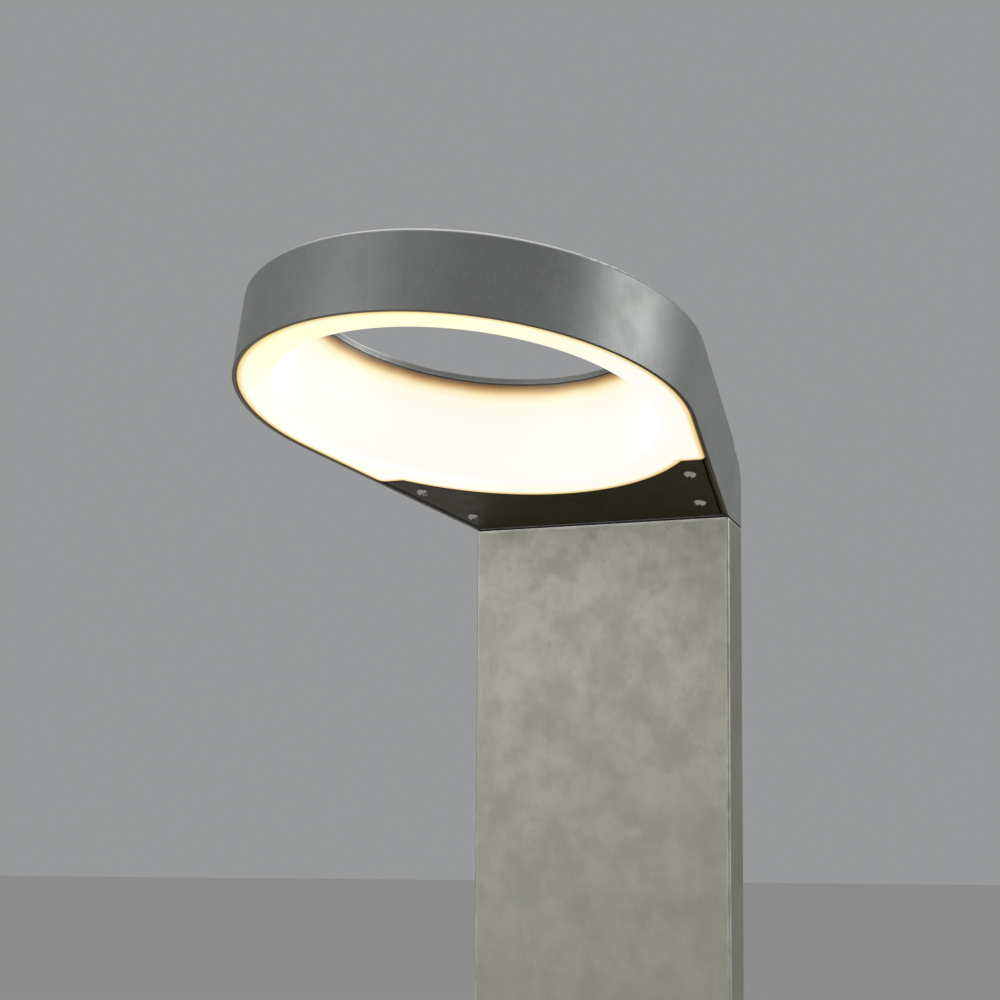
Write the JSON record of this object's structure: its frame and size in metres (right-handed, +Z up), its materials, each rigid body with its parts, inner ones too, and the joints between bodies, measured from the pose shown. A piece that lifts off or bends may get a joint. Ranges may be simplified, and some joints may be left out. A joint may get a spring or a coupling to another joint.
{
  "type": "garden path light",
  "caption": "Garden path light: thin upright folded-sheet post on a flange plate, with a tipped ring head that overhangs the front and carries a lit opal ring diffuser.",
  "frame": {"origin": "centre of the flange plate's underside, where it meets the ground", "axes": "+Z up, the ring head reaches out towards -Y, +X to the right seen from the front"},
  "size_m": [0.268, 0.3461, 0.7515],
  "materials": {
    "galvanised": "weathered hot-dip galvanised",
    "dark_plate": "matt, near black",
    "opal": "opal, lit from inside",
    "sealant": "silicone",
    "gasket": "foam rubber",
    "screw_steel": "stainless",
    "zinc_steel": "zinc plated",
    "carrier_aluminium": "mill finish",
    "board_white": "white solder mask",
    "led_yellow": "phosphor",
    "gear_case": "moulded",
    "terminal_grey": "moulded",
    "wire_brown": "insulation",
    "wire_blue": "insulation",
    "wire_green": "green insulation with a yellow stripe",
    "wire_red": "insulation",
    "wire_black": "insulation"
  },
  "bodies": {
    "root": {"base_plate": "galvanised", "post_tube": "galvanised", "post_cap": "zinc_steel", "base_grommet": "gasket", "joint_gasket": "gasket", "head_shell": "galvanised", "crown_ring": "galvanised", "head_floor": "zinc_steel", "head_washers": "zinc_steel", "head_screws": "screw_steel", "head_grommet": "gasket", "diffuser": "opal", "lens_seal": "sealant", "lens_ledge": "zinc_steel", "collar_seal": "sealant", "light_baffle": "zinc_steel", "led_carrier": "carrier_aluminium", "led_board": "board_white", "leds": "led_yellow", "carrier_screws": "screw_steel", "service_plate": "dark_plate", "plate_gasket": "gasket", "plate_screws": "screw_steel", "plate_rail_left": "dark_plate", "plate_rail_right": "dark_plate", "gear_tray": "zinc_steel", "driver_case": "gear_case", "driver_clips": "zinc_steel", "driver_screws": "screw_steel", "terminal_block": "terminal_grey", "terminal_screws": "screw_steel", "live_lead": "wire_brown", "neutral_lead": "wire_blue", "earth_stud": "screw_steel", "earth_washer": "zinc_steel", "earth_nut": "zinc_steel", "earth_lead": "wire_green", "led_lead_plus": "wire_red", "led_lead_minus": "wire_black"}
  },
  "joints": []
}
